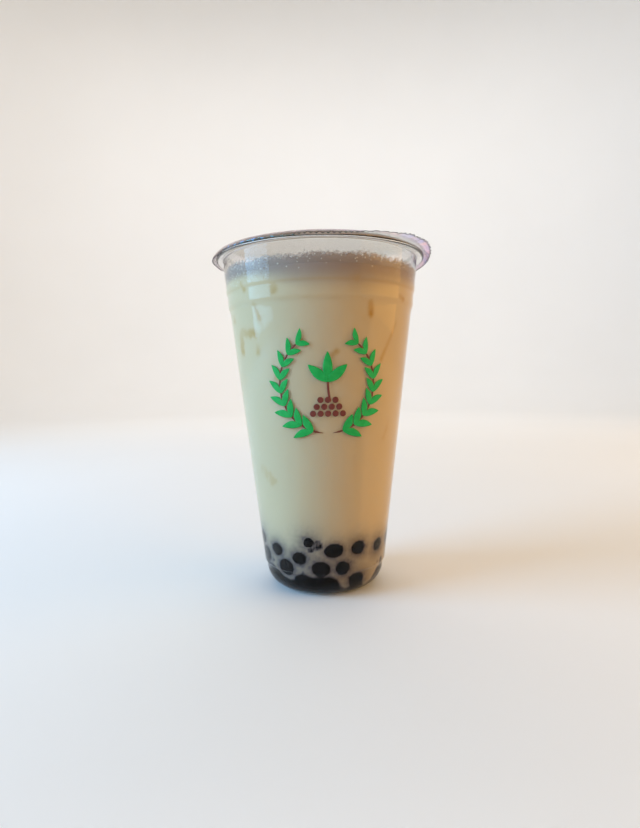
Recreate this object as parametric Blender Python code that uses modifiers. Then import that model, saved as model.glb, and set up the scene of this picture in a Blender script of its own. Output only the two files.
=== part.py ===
"""Milk tea with black tapioca pearls in a clear plastic cup shut by a heat-sealed film.

Four pieces: the turned cup, the film across its rim, the drink, and the heap of pearls on
the cup's floor. Metres, +Z up. The cup stands on z = 0 with its axis on Z, and -Y is the front.
"""
import math
import random

import bmesh
import bpy
from mathutils import Euler, Vector, noise

MM = 0.001
SEGMENTS = 44

# Cup, in millimetres. The cup's rim is the common 95 mm one.
RIM_RADIUS = 47.5
RIM_TOP = 150.4
RIM_UNDER = 148.5
NECK_RADIUS = 44.2
WALL = 0.7
HEEL_RADIUS = 9.5
HEEL_CENTRE = 17.9
STAND_RING_INNER = 14.0
PUSH_UP = 1.5

# The outer wall from the heel up: (radius, height) at each change of slope.
FOOT = [(27.4, 9.5), (27.9, 11.2)]
BODY = [(28.4, 11.8), (41.8, 126.7)]
STACKING_STEP = [(42.5, 127.3), (42.85, 133.4)]
UPPER_BAND = [(43.1, 133.9), (43.35, 139.3)]
NECK = [(43.9, 141.5), (NECK_RADIUS, RIM_UNDER)]
WALL_POINTS = FOOT + BODY + STACKING_STEP + UPPER_BAND + NECK

# Contents
GAP = 0.3
TEA_LEVEL = 139.0
PEARL_SIZE = 9.2
CORE_CLEARANCE = 3.3
CORE_SIDE = 20.0
CORE_TOP = 22.5

# Film
FILM_THICKNESS = 0.3
FILM_SEGMENTS = 72
FILM_FOLD_RADIUS = RIM_RADIUS - 1.0
# The overhanging edge round the rim: azimuth from the front (degrees, right is positive),
# length of the overhang (mm) and how far it has turned down at its edge (degrees, up is less
# than zero).
OVERHANG = [
    (-180, 4.2, 52), (-128, 3.6, 67), (-108, 3.3, 112), (-91, 4.3, 140), (-78, 4.5, 104),
    (-55, 3.4, 112), (-32, 3.6, 112), (8, 3.8, 72), (38, 3.7, -14), (49, 5.2, -20), (62, 5.0, -22),
    (81, 4.9, 90), (90, 4.6, 118), (100, 5.0, 126), (122, 4.4, 112), (142, 4.2, 60), (180, 4.2, 52),
]

# Pearls that lie against the front of the wall: azimuth from the front (degrees, right is
# positive), height of the contact, pearl size and width of the flattened contact (mm).
FRONT_PEARLS = [
    (-70, 24.5, 9.0, 5.0), (-65, 16.8, 9.6, 6.8), (-46, 21.2, 9.2, 6.0), (-37, 13.8, 9.6, 6.8),
    (-22.5, 18.9, 9.2, 6.2), (-13.5, 26.0, 9.2, 5.2), (7.5, 22.5, 9.8, 7.4), (29.5, 22.9, 9.2, 6.2),
    (53, 21.8, 8.8, 5.6), (-4, 14.4, 10.0, 7.4), (15.5, 14.8, 9.2, 6.2), (30, 8.4, 9.4, 6.8),
    (-66, 9.0, 9.6, 7.4), (-46, 6.0, 9.4, 7.0), (-21, 8.2, 10.4, 8.2), (2, 7.2, 10.0, 7.6),
    (-84, 6.6, 9.4, 6.4),
]
# Layers of the heap round the back: height of the contact, first and last azimuth, count.
BACK_LAYERS = [(6.5, 96, 264, 7), (14.0, 86, 280, 8), (21.5, 80, 268, 6)]
SEED = 11
KEPT_SHARE = 0.55


def wall_line(inset):
    """The wall's outer line moved inwards by inset, from the axis up to the rim."""
    line = [(0.0, PUSH_UP + inset), (STAND_RING_INNER - 2.0 + 0.5 * inset, PUSH_UP + inset)]
    line.append((STAND_RING_INNER + 0.5 * inset, inset))
    steps = 4
    for i in range(steps):
        angle = math.radians(-90.0 + 90.0 * i / steps)
        radius = HEEL_CENTRE + (HEEL_RADIUS - inset) * math.cos(angle)
        height = HEEL_RADIUS + (HEEL_RADIUS - inset) * math.sin(angle)
        line.append((radius, height))
    for radius, height in WALL_POINTS:
        line.append((radius - inset, height))
    return line


def wall_radius(height, inset):
    """Radius of the inset wall at a height."""
    line = wall_line(inset)[3:]
    for (r0, z0), (r1, z1) in zip(line, line[1:]):
        if z0 <= height <= z1:
            return r0 + (r1 - r0) * (height - z0) / (z1 - z0)
    return line[0][0]


def cut_at(line, top):
    """The line up to a height, with a last point put in at that height."""
    kept = [point for point in line if point[1] < top]
    below = kept[-1]
    above = line[len(kept)]
    share = (top - below[1]) / (above[1] - below[1])
    kept.append((below[0] + (above[0] - below[0]) * share, top))
    return kept


def rim_line():
    """The rolled rim, from the inner wall's top over to the underside at the outer wall."""
    inner = NECK_RADIUS - WALL
    line = [(inner, RIM_TOP - 0.5), (inner + 0.5, RIM_TOP)]
    bead = (RIM_TOP - RIM_UNDER) / 2.0
    for i in range(5):
        angle = math.radians(90.0 - 45.0 * i)
        radius = RIM_RADIUS - bead + bead * math.cos(angle)
        line.append((radius, RIM_UNDER + bead + bead * math.sin(angle)))
    return line


def make_material(name, colour, roughness, transmission=0.0):
    """A Principled material without metal."""
    material = bpy.data.materials.new(name)
    material.use_nodes = True
    shader = material.node_tree.nodes["Principled BSDF"]
    shader.inputs["Base Color"].default_value = (*colour, 1.0)
    shader.inputs["Roughness"].default_value = roughness
    shader.inputs["Metallic"].default_value = 0.0
    shader.inputs["Transmission Weight"].default_value = transmission
    return material


def add_object(mesh, name, collection, material=None):
    """Put a mesh into a collection as an object."""
    item = bpy.data.objects.new(name, mesh)
    collection.objects.link(item)
    if material:
        mesh.materials.append(material)
    return item


def turned(name, line, collection, material=None, segments=SEGMENTS):
    """A solid turned from a line given from the inner side round to the outer bottom."""
    mesh = bpy.data.meshes.new(name)
    form = bmesh.new()
    points = [form.verts.new((r * MM, 0.0, z * MM)) for r, z in line]
    for first, second in zip(points, points[1:]):
        form.edges.new((first, second))
    form.to_mesh(mesh)
    form.free()
    item = add_object(mesh, name, collection, material)
    screw = item.modifiers.new("Turn", "SCREW")
    screw.axis = "Z"
    screw.angle = math.tau
    screw.steps = segments
    screw.render_steps = segments
    screw.use_merge_vertices = True
    screw.merge_threshold = 0.00001
    screw.use_smooth_shade = True
    return item


def settle(item):
    """Apply an object's modifiers."""
    graph = bpy.context.evaluated_depsgraph_get()
    mesh = bpy.data.meshes.new_from_object(item.evaluated_get(graph), depsgraph=graph)
    mesh.name = item.name
    item.modifiers.clear()
    item.data = mesh


def boolean(item, operation, target):
    """A Boolean with one object or with a whole collection, applied."""
    modifier = item.modifiers.new(operation.title(), "BOOLEAN")
    modifier.operation = operation
    modifier.solver = "EXACT"
    if isinstance(target, bpy.types.Collection):
        modifier.operand_type = "COLLECTION"
        modifier.collection = target
    else:
        modifier.object = target
    settle(item)


def keep_largest(item):
    """Drop loose scraps and sealed hollows: only the largest shell stays."""
    form = bmesh.new()
    form.from_mesh(item.data)
    form.verts.ensure_lookup_table()
    seen = set()
    shells = []
    for start in form.verts:
        if start.index in seen:
            continue
        seen.add(start.index)
        shell = [start]
        for vertex in shell:
            for edge in vertex.link_edges:
                other = edge.other_vert(vertex)
                if other.index not in seen:
                    seen.add(other.index)
                    shell.append(other)
        shells.append(shell)
    shells.sort(key=len)
    for shell in shells[:-1]:
        bmesh.ops.delete(form, geom=shell, context="VERTS")
    bmesh.ops.triangulate(form, faces=form.faces[:])
    form.to_mesh(item.data)
    form.free()


def simplify(item, ratio):
    """Collapse the shortest edges, mostly the small ones that the Booleans leave."""
    modifier = item.modifiers.new("Simplify", "DECIMATE")
    modifier.decimate_type = "COLLAPSE"
    modifier.ratio = ratio
    settle(item)


def pearl_places():
    """Every pearl as (azimuth, distance from the axis, height, size)."""
    draw = random.Random(SEED)
    places = []
    against = [tuple(entry) for entry in FRONT_PEARLS]
    for height, first, last, count in BACK_LAYERS:
        for i in range(count):
            azimuth = first + (last - first) * i / (count - 1) + draw.uniform(-4.0, 4.0)
            size = PEARL_SIZE + draw.uniform(-0.5, 0.5)
            against.append((azimuth, height + draw.uniform(-1.2, 1.2), size, draw.uniform(4.6, 6.6)))
    for azimuth, height, size, patch in against:
        radius = size / 2.0
        reach = math.sqrt(radius ** 2 - (patch / 2.0) ** 2)
        centre = max(height, 1.0 + 0.85 * radius)
        places.append((azimuth, wall_radius(height, WALL + GAP) - reach, centre, size))
    return places


def add_pearls(collection, grow):
    """One lumpy ball for each pearl, each swollen by grow millimetres."""
    draw = random.Random(SEED + 1)
    for number, (azimuth, distance, height, size) in enumerate(pearl_places()):
        turn = math.radians(azimuth)
        centre = Vector((distance * math.sin(turn), -distance * math.cos(turn), height)) * MM
        squash = (draw.uniform(0.96, 1.04), draw.uniform(0.96, 1.04), draw.uniform(0.9, 0.98))
        spin = Euler([draw.uniform(0.0, math.tau) for _ in range(3)]).to_matrix().to_4x4()
        form = bmesh.new()
        bmesh.ops.create_icosphere(form, subdivisions=2, radius=1.0, matrix=spin)
        for vertex in form.verts:
            way = vertex.co.copy()
            lump = 1.0 + 0.05 * noise.noise(way * 1.3 + Vector((number * 3.1, 0.0, 0.0)))
            radius = (size / 2.0 * lump + grow) * MM
            vertex.co = centre + Vector((way[i] * squash[i] * radius for i in range(3)))
        mesh = bpy.data.meshes.new("pearl")
        form.to_mesh(mesh)
        form.free()
        add_object(mesh, "pearl_%02d" % number, collection)


def core_line(grow):
    """The closely packed middle of the heap: it keeps clear of the wall and ends in a low dome."""
    line = cut_at(wall_line(WALL + GAP + CORE_CLEARANCE - grow), CORE_SIDE)
    edge = line[-1][0]
    line.append((edge - 1.2, CORE_SIDE + 1.5 + grow))
    line.append((0.5 * edge, CORE_TOP - 0.3 + grow))
    line.append((0.0, CORE_TOP + grow))
    line.reverse()
    return line


def make_heap(parts, cutters, material):
    """The pearls and the packed core as one solid, flattened where it meets the cup."""
    heap = turned("tapioca_pearls", core_line(0.0), parts, material, 24)
    settle(heap)
    loose = bpy.data.collections.new("pearls_to_join")
    bpy.context.scene.collection.children.link(loose)
    add_pearls(loose, 0.0)
    boolean(heap, "UNION", loose)
    clear_collection(loose)
    inside = turned("heap_limit", contents_line(TEA_LEVEL - 20.0), cutters)
    hide_cutter(inside)
    boolean(heap, "INTERSECT", inside)
    keep_largest(heap)
    simplify(heap, KEPT_SHARE)
    return heap


def clear_collection(collection):
    """Remove a collection with its objects."""
    for item in list(collection.objects):
        bpy.data.objects.remove(item)
    bpy.data.collections.remove(collection)


def hide_cutter(item):
    """A cutter only shapes other pieces."""
    item.hide_render = True
    item.display_type = "WIRE"


def contents_line(top):
    """What fills the cup up to a height, from its top's centre down to the floor's centre."""
    line = cut_at(wall_line(WALL + GAP), top)
    line.append((0.0, top))
    line.reverse()
    return line


def make_cup(parts, material):
    """Inner floor, inner wall, rim, outer wall and underside as one turned shell."""
    line = wall_line(WALL)[:-1] + rim_line() + list(reversed(wall_line(0.0)))
    return turned("cup", line, parts, material)


def make_tea(parts, cutters, material):
    """The drink up to its level, cut round the heap with an even gap."""
    tea = turned("milk_tea", contents_line(TEA_LEVEL), parts, material)
    settle(tea)
    room = bpy.data.collections.new("room_for_pearls")
    bpy.context.scene.collection.children.link(room)
    add_pearls(room, GAP + 0.1)
    core = turned("room_for_core", core_line(GAP + 0.1), room, None, 24)
    settle(core)
    boolean(tea, "DIFFERENCE", room)
    clear_collection(room)
    keep_largest(tea)
    simplify(tea, KEPT_SHARE)
    return tea


def overhang(turn):
    """Length (mm) and end angle (radians) of the film's overhang at an azimuth in radians."""
    azimuth = math.degrees(turn)
    for (a0, length0, end0), (a1, length1, end1) in zip(OVERHANG, OVERHANG[1:]):
        if a0 <= azimuth <= a1:
            break
    share = (azimuth - a0) / (a1 - a0)
    share = 0.5 - 0.5 * math.cos(math.pi * share)
    length = length0 + (length1 - length0) * share
    end = end0 + (end1 - end0) * share
    end += 5.0 * math.sin(15.0 * turn) + 4.0 * math.sin(22.0 * turn + 1.0)
    if abs(end) < 1.0:
        end = 1.0
    return length, math.radians(end)


def make_film(parts, material):
    """A sheet across the rim, its trimmed edge curling over the rim in shallow waves."""
    level = RIM_TOP + GAP + FILM_THICKNESS / 2.0
    curl_steps = 4
    rings = [0.0, NECK_RADIUS, FILM_FOLD_RADIUS] + [FILM_FOLD_RADIUS + i + 1.0 for i in range(curl_steps)]
    mesh = bpy.data.meshes.new("seal_film")
    form = bmesh.new()
    points = [form.verts.new((radius * MM, 0.0, level * MM)) for radius in rings]
    for first, second in zip(points, points[1:]):
        form.edges.new((first, second))
    form.to_mesh(mesh)
    form.free()
    film = add_object(mesh, "seal_film", parts, material)
    screw = film.modifiers.new("Turn", "SCREW")
    screw.axis = "Z"
    screw.angle = math.tau
    screw.steps = FILM_SEGMENTS
    screw.render_steps = FILM_SEGMENTS
    screw.use_merge_vertices = True
    screw.merge_threshold = 0.00001
    settle(film)
    # Past the fold the sheet turns down at an even rate along its length.
    for vertex in film.data.vertices:
        flat = Vector((vertex.co.x, vertex.co.y, 0.0)) / MM
        if flat.length <= FILM_FOLD_RADIUS + 0.1:
            continue
        length, end = overhang(math.atan2(flat.x, -flat.y))
        bend = length / end
        angle = end * (flat.length - FILM_FOLD_RADIUS) / curl_steps
        radius = FILM_FOLD_RADIUS + bend * math.sin(angle)
        drop = bend * (1.0 - math.cos(angle))
        vertex.co = (flat.normalized() * radius + Vector((0.0, 0.0, level - drop))) * MM
    sheet = film.modifiers.new("Thickness", "SOLIDIFY")
    sheet.thickness = FILM_THICKNESS * MM
    sheet.offset = 0.0
    sheet.use_even_offset = True
    return film


def smooth(item, angle=35.0):
    """Smooth shading with creases kept sharp."""
    item.data.shade_smooth()
    item.data.set_sharp_from_angle(angle=math.radians(angle))


def main():
    """Clear the scene and build the four pieces."""
    for item in list(bpy.data.objects):
        bpy.data.objects.remove(item)
    parts = bpy.data.collections.new("bubble_tea")
    cutters = bpy.data.collections.new("cutters")
    bpy.context.scene.collection.children.link(parts)
    bpy.context.scene.collection.children.link(cutters)
    make_cup(parts, make_material("clear_plastic", (0.93, 0.95, 0.95), 0.08, 0.9))
    make_film(parts, make_material("clear_film", (0.92, 0.93, 0.94), 0.12, 0.9))
    pearls = make_material("tapioca", (0.012, 0.009, 0.01), 0.25)
    smooth(make_heap(parts, cutters, pearls), 60.0)
    drink = make_material("milk_tea", (0.76, 0.64, 0.43), 0.35)
    smooth(make_tea(parts, cutters, drink))


main()
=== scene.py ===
"""Bubble tea in a clear, film-sealed cup: the fine surfaces and finishes round the solid model."""

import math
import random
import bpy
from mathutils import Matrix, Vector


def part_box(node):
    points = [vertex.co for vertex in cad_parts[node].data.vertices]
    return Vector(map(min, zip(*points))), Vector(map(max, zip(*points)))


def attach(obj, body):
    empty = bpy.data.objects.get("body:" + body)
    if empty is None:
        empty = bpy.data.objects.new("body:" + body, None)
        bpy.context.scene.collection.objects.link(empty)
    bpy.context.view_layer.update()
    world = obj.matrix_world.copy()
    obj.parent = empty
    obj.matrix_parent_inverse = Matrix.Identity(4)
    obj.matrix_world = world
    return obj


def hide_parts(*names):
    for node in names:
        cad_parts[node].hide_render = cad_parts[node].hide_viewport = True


bl_info = {
    "name": "Bubble Tea",
    "version": (1, 0, 0),
    "blender": (4, 5, 0),
    "location": "3D View > Sidebar > Bubble Tea",
    "description": "Milk tea with tapioca pearls in a clear cup shut by a heat-sealed film",
    "category": "Object",
}

import bmesh
import bpy
import numpy as np

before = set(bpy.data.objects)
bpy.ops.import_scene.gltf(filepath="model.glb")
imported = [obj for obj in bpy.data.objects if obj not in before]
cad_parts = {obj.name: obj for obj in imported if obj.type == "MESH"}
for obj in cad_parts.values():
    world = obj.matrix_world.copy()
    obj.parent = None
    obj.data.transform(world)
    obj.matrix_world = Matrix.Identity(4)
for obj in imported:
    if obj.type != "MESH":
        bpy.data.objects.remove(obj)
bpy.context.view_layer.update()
MM = 0.001

# Cup, in millimetres: the outer wall from the heel up as (radius, height).
WALL_POINTS = [
    (27.4, 9.5), (27.9, 11.2), (28.4, 11.8), (41.48, 124.0), (41.72, 125.6), (42.1, 126.7),
    (42.4, 127.4), (42.5, 128.2), (42.78, 132.9), (43.15, 133.8), (43.33, 134.6), (43.48, 139.3),
    (43.92, 141.5), (44.2, 148.5),
]
RIM_RADIUS = 47.5
RIM_TOP = 150.4
RIM_UNDER = 148.5
NECK_RADIUS = 44.2
HEEL_RADIUS = 9.5
HEEL_CENTRE = 17.9
STAND_RING_INNER = 14.0
PUSH_UP = 1.5

# Pearls against the front of the wall: azimuth from the front (degrees, right is positive),
# height of the contact, pearl size, width of the flattened contact (mm) and the ball's height as
# a share of its width.
FRONT_PEARLS = [
    (-70, 24.5, 9.0, 6.6, 0.96), (-65, 16.8, 9.6, 8.0, 0.96), (-46, 21.2, 9.2, 6.9, 0.9),
    (-37, 13.8, 9.6, 8.2, 0.92), (-22.5, 18.9, 9.2, 6.7, 0.94), (-13.5, 26.2, 9.2, 5.0, 0.95),
    (7.5, 22.5, 9.8, 8.1, 0.8), (29.5, 22.9, 9.2, 7.0, 0.94), (53, 21.8, 8.8, 6.2, 0.98),
    (-4, 14.4, 10.0, 8.0, 0.92), (15.5, 14.8, 9.2, 6.6, 0.99), (30, 8.4, 9.4, 7.4, 0.98),
    (-66, 9.0, 9.6, 7.4, 0.9), (-46, 6.0, 9.4, 7.0, 0.9), (-21, 8.2, 10.4, 8.2, 0.9),
    (2, 7.2, 10.0, 7.6, 0.9), (-84, 6.6, 9.4, 6.4, 0.9),
]
# Pearls at the back in layers: height, first and last azimuth, count.
BACK_LAYERS = [(6.5, 96, 264, 7), (14.0, 86, 280, 8), (21.5, 80, 268, 6)]
# Pearls seen through a little milk, three of them painting a shadow line under the heel's step:
# azimuth, height, radius (mm) and how deep they lie.
SUNK_PEARLS_AND_SHADOW = [
    (-6.5, 24.8, 2.4, 0.05), (-3.8, 24.0, 1.1, -0.2), (-11.6, 22.9, 1.5, 0.0), (-16.8, 27.6, 1.6, 0.4),
    (-53, 15.2, 0.6, -0.2), (22.0, 12.0, 1.6, 0.6), (-29, 11.0, 1.4, 0.5), (-8.5, 19.5, 1.5, 0.6),
    # The three at azimuths 51 to 63 near 13 mm paint the shadow line under the heel's step.
    (51, 12.6, 0.5, 0.5), (56, 13.2, 0.8, 0.3), (63, 12.8, 1.7, 0.1), (118, 24.5, 2.2, 0.3),
    (205, 26.0, 2.0, 0.4),
]
# The crowd of pearls in the heel, with the heel's painted shade: azimuth, height (mm) up to which
# they show, and how black.
CROWDED_FOOT_AND_SHADE = [
    (-180, 8.5, 1.0), (-166, 10.6, 1.0), (-152, 8.0, 1.0), (-136, 11.6, 1.0), (-118, 8.8, 1.0),
    (-98, 11.0, 1.0), (-82, 13.4, 1.0), (-65, 13.2, 1.0), (-55, 12.9, 1.0), (-49, 11.6, 1.0),
    (-43, 8.8, 1.0), (-34, 8.2, 1.0), (-30, 8.6, 1.0), (-26, 10.8, 1.0), (-20, 12.4, 1.0),
    (-12, 10.6, 1.0), (-4, 11.0, 1.0), (6, 10.7, 1.0), (11, 9.0, 0.97), (14, 6.4, 0.93),
    (20, 4.4, 0.88), (24, 6.0, 0.93), (38, 6.4, 0.96), (43, 3.0, 0.9), (49, 5.4, 0.82),
    (55, 8.4, 0.8), (60, 10.6, 0.84), (66, 11.2, 0.9), (78, 9.0, 0.95), (92, 7.6, 1.0),
    (106, 10.8, 1.0), (118, 8.0, 1.0), (131, 11.4, 1.0), (145, 8.6, 1.0), (160, 11.0, 1.0),
    (180, 8.5, 1.0),
]
PEARL_SIZE = 9.2
# The heap's packed core: how far inside the pearls' line it stays and the height of its side.
CORE_CLEARANCE = 3.3
CORE_SIDE = 20.0
SEED = 11

# Depths inwards from the wall's outer face: the inner face, the line that the solid pearls
# touch, and the lines that the fine pearls, the bubbles and the ice are drawn in to.
INNER_FACE = 0.7
PEARL_LINE = 1.0
PEARL_LIMIT = 0.58
BUBBLE_LIMIT = 0.45
ICE_LIMIT = 1.4
# How far the drink reaches into the wall, so that no air gap shows, and where its ice ends.
DRINK_REACH = 0.06
ICE_TOP = 137.5
# No pearl shows above this height.
PEARLS_END = 33.0

# Printed ink: its thickness and how far the middle of each colour lies outside the wall (mm).
INK = 0.04
BROWN_LIFT = 0.04
GREEN_LIFT = 0.07

# The film's overhang: azimuth, length (mm) and how far it has turned down at its edge (degrees,
# up is less than zero).
OVERHANG = [
    (-180, 4.2, 52), (-128, 3.6, 67), (-108, 3.3, 112), (-91, 4.3, 140), (-78, 4.5, 104),
    (-55, 3.4, 112), (-32, 3.6, 112), (8, 3.8, 72), (38, 3.7, -14), (49, 5.2, -20), (62, 5.0, -22),
    (81, 4.9, 90), (90, 4.6, 118), (100, 5.0, 126), (122, 4.4, 112), (142, 4.2, 60), (180, 4.2, 52),
]
FOLD_RADIUS = RIM_RADIUS - 1.0
FILM_LEVEL = 150.85
# The film's flat part ends at this radius, and the pressed seal ring runs round at the second.
FILM_FLAT = 43.2
SEAL_RING = 45.2

# Ice cubes with an edge near the wall: azimuth and height of that edge's two ends, size of the
# cube (mm), how deep the edge lies in the drink (mm) and how wide it shows (mm).
ICE_EDGES = [
    (-41.5, 126.0, -38, 119.6, 21.0, 0.2, 0.3), (-50.5, 135.5, -48, 132.3, 18.0, 0.3, 0.3),
    (-67.3, 122.7, -67, 120.7, 17.0, 0.3, 0.3), (-26.5, 133.0, -26, 130.2, 19.0, 0.6, 0.9),
    (-56, 115.2, -44, 114.2, 20.0, 0.45, 1.2), (-58, 114.6, -60, 107.8, 18.0, 0.45, 1.2),
    (-42, 108.4, -42, 106.2, 19.0, 0.55, 0.5), (29, 125.2, 29.5, 120.6, 20.0, 0.0, 0.5),
    (51, 118.1, 39.5, 102.8, 24.0, 0.35, 0.25), (51.5, 129.0, 56, 128.0, 18.0, 0.25, 0.3),
    (-14.5, 107.7, -11.5, 110.3, 17.0, 0.35, 0.4), (-29.5, 95.0, -26, 97.6, 17.0, 0.2, 0.5),
    (5.5, 103.8, 8.6, 105.6, 18.0, 0.3, 0.5), (52, 75.8, 48, 69.4, 18.0, 1.1, 0.7),
    (32, 89.5, 32, 87.2, 16.0, 1.2, 0.5), (17, 134.6, 20, 134.0, 18.0, 0.9, 0.8),
    (-52, 56.5, -42, 52.0, 17.0, 1.1, 1.6),
    (120, 126.0, 129, 122.0, 22.0, 0.3, 0.7), (160, 116.0, 162, 110.0, 21.0, 0.4, 0.7),
    (196, 128.0, 203, 126.0, 20.0, 0.5, 0.8), (222, 111.0, 226, 106.5, 22.0, 0.4, 0.8),
    (262, 120.0, 263, 115.0, 19.0, 0.5, 0.7),
]

# The camera fitted to the photo: its focal length and the photo's height, both in pixels.
CAMERA_PIXELS = 521.0
PHOTO_HEIGHT = 828.0

# Where the milk starts to thin towards the top, and painted shade at the front: azimuth and height (mm).
THIN_AND_SHADE_FROM = [
    (-180, 134.0), (-80, 135.5), (-58, 136.6), (-38, 135.4), (-12, 128.2), (22, 126.8), (48, 131.0),
    (80, 133.6), (180, 134.0),
]
THIN_TO = 139.2
# Painted shade lines where the wall steps: height (mm) and how amber they look.
STEP_SHADE_LINES = [(133.6, 0.22), (127.0, 0.15)]


def wall_line(inset):
    """The wall's outer line moved inwards by inset, from the axis up to the neck's top."""
    line = [(0.0, PUSH_UP + inset), (STAND_RING_INNER - 2.0 + 0.5 * inset, PUSH_UP + inset)]
    line.append((STAND_RING_INNER + 0.5 * inset, inset))
    angle = np.radians(np.arange(-90.0, 0.0, 11.25))
    reach = HEEL_RADIUS - inset
    heel = np.column_stack([HEEL_CENTRE + reach * np.cos(angle), HEEL_RADIUS + reach * np.sin(angle)])
    return np.vstack([line, heel, np.array(WALL_POINTS) - (inset, 0.0)])


def wall_radius(height, inset):
    """Radius of the inset wall at any heights, read along the line from the heel up."""
    line = wall_line(inset)[3:]
    return np.interp(height, line[:, 1], line[:, 0])


def softened(line, reach, steps=5):
    """Every inner corner turned into a parabola: corner + a(1-t)² + b·t², where a and b run back
    along its two sides by at most reach or 45% of the side."""
    line = np.asarray(line, float)
    sides = [line[:-2] - line[1:-1], line[2:] - line[1:-1]]
    cuts = []
    for side in sides:
        length = np.linalg.norm(side, axis=1, keepdims=True)
        cuts.append(side / length * np.minimum(reach, 0.45 * length))
    t = np.linspace(0.0, 1.0, steps)[:, None, None]
    curve = line[1:-1] + cuts[0] * (1.0 - t) ** 2 + cuts[1] * t ** 2
    return np.vstack([line[:1], curve.transpose(1, 0, 2).reshape(-1, 2), line[-1:]])


def respaced(line, spacing):
    """Points along the line at an even spacing, by linear steps of its arc length."""
    run = np.concatenate([[0.0], np.cumsum(np.linalg.norm(np.diff(line, axis=0), axis=1))])
    count = max(2, int(round(run[-1] / spacing)) + 1)
    at = np.linspace(0.0, run[-1], count)
    return np.column_stack([np.interp(at, run, line[:, 0]), np.interp(at, run, line[:, 1])])


def placed(turn, radius, height):
    """Points at azimuths from the front, in radians: (r sin a, -r cos a, z)."""
    return np.stack(np.broadcast_arrays(radius * np.sin(turn), -radius * np.cos(turn), height), -1)


def turned(line, columns):
    """A surface of revolution: every point of the line at every azimuth."""
    return placed(np.linspace(0.0, 2.0 * np.pi, columns, endpoint=False), line[:, :1], line[:, 1:])


def ball_ways(rows, columns):
    """Directions over a ball, as a grid from pole to pole: (sin p cos a, sin p sin a, cos p)."""
    polar = np.linspace(0.0, np.pi, rows)[:, None]
    turn = np.linspace(0.0, 2.0 * np.pi, columns, endpoint=False)[None, :]
    across = np.sin(polar)
    return np.stack(np.broadcast_arrays(across * np.cos(turn), across * np.sin(turn), np.cos(polar)), -1)


def drawn_in(points, inset):
    """Points scaled towards the axis where they pass the wall's line moved inwards by inset."""
    away = np.maximum(np.hypot(points[..., 0], points[..., 1]), 1e-6)
    points[..., :2] *= np.minimum(1.0, wall_radius(points[..., 2], inset) / away)[..., None]
    return points


def grid_faces(rows, columns, around=True):
    """Corner numbers of a grid's cells, the last column joined to the first where it runs around."""
    row = np.arange(rows - 1)[:, None]
    column = np.arange(columns if around else columns - 1)[None, :]
    right = (column + 1) % columns
    low, high = row * columns, (row + 1) * columns
    corners = np.broadcast_arrays(low + column, low + right, high + right, high + column)
    return np.stack(corners, axis=-1).reshape(-1, 4)


def many_grids(points):
    """Places and faces of a stack of like grids, shaped (pieces, rows, columns, 3)."""
    pieces, rows, columns = points.shape[:3]
    faces = grid_faces(rows, columns)
    offset = (np.arange(pieces) * rows * columns)[:, None, None]
    return points.reshape(-1, 3), (faces[None] + offset).reshape(-1, 4)


def clean_mesh(mesh, material, outwards=True):
    """Merge a mesh's poles, turn its faces outwards, smooth it and give it its material."""
    form = bmesh.new()
    form.from_mesh(mesh)
    bmesh.ops.remove_doubles(form, verts=form.verts, dist=1e-7)
    if outwards:
        bmesh.ops.recalc_face_normals(form, faces=form.faces)
    form.to_mesh(mesh)
    form.free()
    mesh.shade_smooth()
    mesh.materials.append(material)


def make_piece(name, points, faces, material, values=None):
    """A mesh object from places in millimetres, its values kept on its corners as attributes."""
    mesh = bpy.data.meshes.new(name)
    mesh.vertices.add(len(points))
    mesh.vertices.foreach_set("co", (points * MM).astype(np.float32).ravel())
    mesh.loops.add(faces.size)
    mesh.loops.foreach_set("vertex_index", faces.astype(np.int32).ravel())
    mesh.polygons.add(len(faces))
    mesh.polygons.foreach_set("loop_start", np.arange(0, faces.size, 4, dtype=np.int32))
    mesh.update(calc_edges=True)
    for key, data in (values or {}).items():
        layer = mesh.attributes.new(key, "FLOAT", "POINT")
        layer.data.foreach_set("value", data.astype(np.float32).ravel())
    clean_mesh(mesh, material)
    piece = bpy.data.objects.new(name, mesh)
    bpy.context.scene.collection.objects.link(piece)
    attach(piece, "root")
    return piece


def waves(points, seed, size, octaves=4):
    """Smooth unevenness from about -1 to 1: over the octaves, products of three sines that run in
    seeded directions with seeded phases, each octave 1.7 times finer and 1.5 times weaker."""
    draw = np.random.default_rng(seed)
    total = np.zeros(points.shape[:-1])
    for octave in range(octaves):
        way = draw.normal(size=(3, 3))
        way /= np.linalg.norm(way, axis=1, keepdims=True)
        phase = draw.uniform(0.0, 2.0 * np.pi, 3)
        turn = points @ way.T * (2.0 * np.pi * 1.7 ** octave / size) + phase
        total += np.sin(turn).prod(axis=-1) / 1.5 ** octave
    return total / 2.0


# Finishes

def shader(name, colour, roughness, **sockets):
    """A Principled material, its plain values set on the sockets; returns it with its nodes."""
    material = bpy.data.materials.new(name)
    material.use_nodes = True
    nodes = material.node_tree.nodes
    principled = nodes["Principled BSDF"]
    principled.inputs["Base Color"].default_value = (*colour, 1.0)
    principled.inputs["Roughness"].default_value = roughness
    for socket, value in sockets.items():
        principled.inputs[socket.replace("_", " ")].default_value = value
    return material, nodes, material.node_tree.links, principled


def add_noise(nodes, links, scale, detail, stretch=(1.0, 1.0, 1.0)):
    """The value of a noise pattern on Object coordinates, optionally stretched."""
    place = nodes.new("ShaderNodeTexCoord")
    mapping = nodes.new("ShaderNodeMapping")
    mapping.inputs["Scale"].default_value = stretch
    noise = nodes.new("ShaderNodeTexNoise")
    noise.inputs["Scale"].default_value = scale
    noise.inputs["Detail"].default_value = detail
    links.new(place.outputs["Object"], mapping.inputs["Vector"])
    links.new(mapping.outputs["Vector"], noise.inputs["Vector"])
    return noise.outputs["Fac"]


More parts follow.
